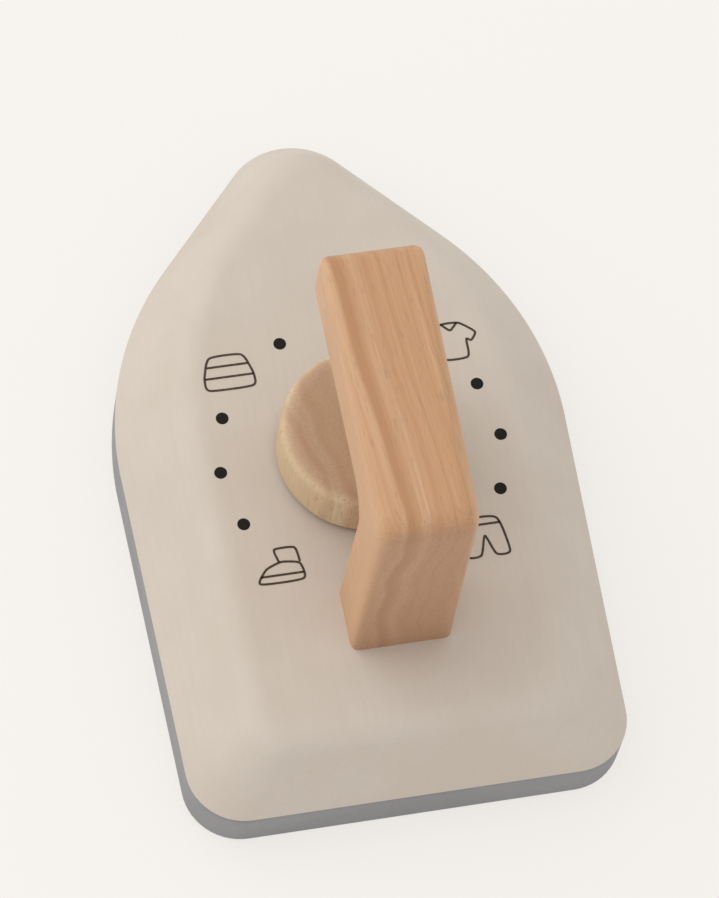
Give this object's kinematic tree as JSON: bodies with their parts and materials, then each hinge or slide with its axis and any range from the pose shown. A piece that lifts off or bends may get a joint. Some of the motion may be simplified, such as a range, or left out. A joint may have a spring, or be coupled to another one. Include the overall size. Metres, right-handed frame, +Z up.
{
  "type": "toy iron",
  "caption": "Wooden toy iron for pretend play: painted sole plate and bevelled body, a beech handle with an open front, and a wooden dial that turns on a hidden pin.",
  "frame": {"origin": "on the floor under the middle of the sole plate", "axes": "+Y along the iron to its nose, +Z up through the dial, +X to the right seen from the heel"},
  "size_m": [0.1, 0.157, 0.0905],
  "materials": {
    "grey_paint": "light cool-grey satin paint on wood",
    "cream_paint": "cream satin paint on wood, with small dark printed marks round the dial",
    "beech": "clear-lacquered beech, fine straight grain",
    "dial_wood": "clear-lacquered beech, turned",
    "felt": "thin grey-brown felt",
    "dowel_wood": "plain beech dowel, unfinished"
  },
  "bodies": {
    "iron": {"sole_plate": "grey_paint", "body_block": "cream_paint", "handle": "beech", "dial_washer": "felt", "leg_dowels": "dowel_wood", "sole_dowels": "dowel_wood"},
    "dial": {"dial": "dial_wood", "dial_pin": "dial_wood"}
  },
  "joints": [
    {"name": "dial_turn", "type": "hinge", "parent": "iron", "child": "dial", "pos_m": [0, -0.0055, 0.0393], "axis": [0, 0, 1], "continuous": true}
  ]
}
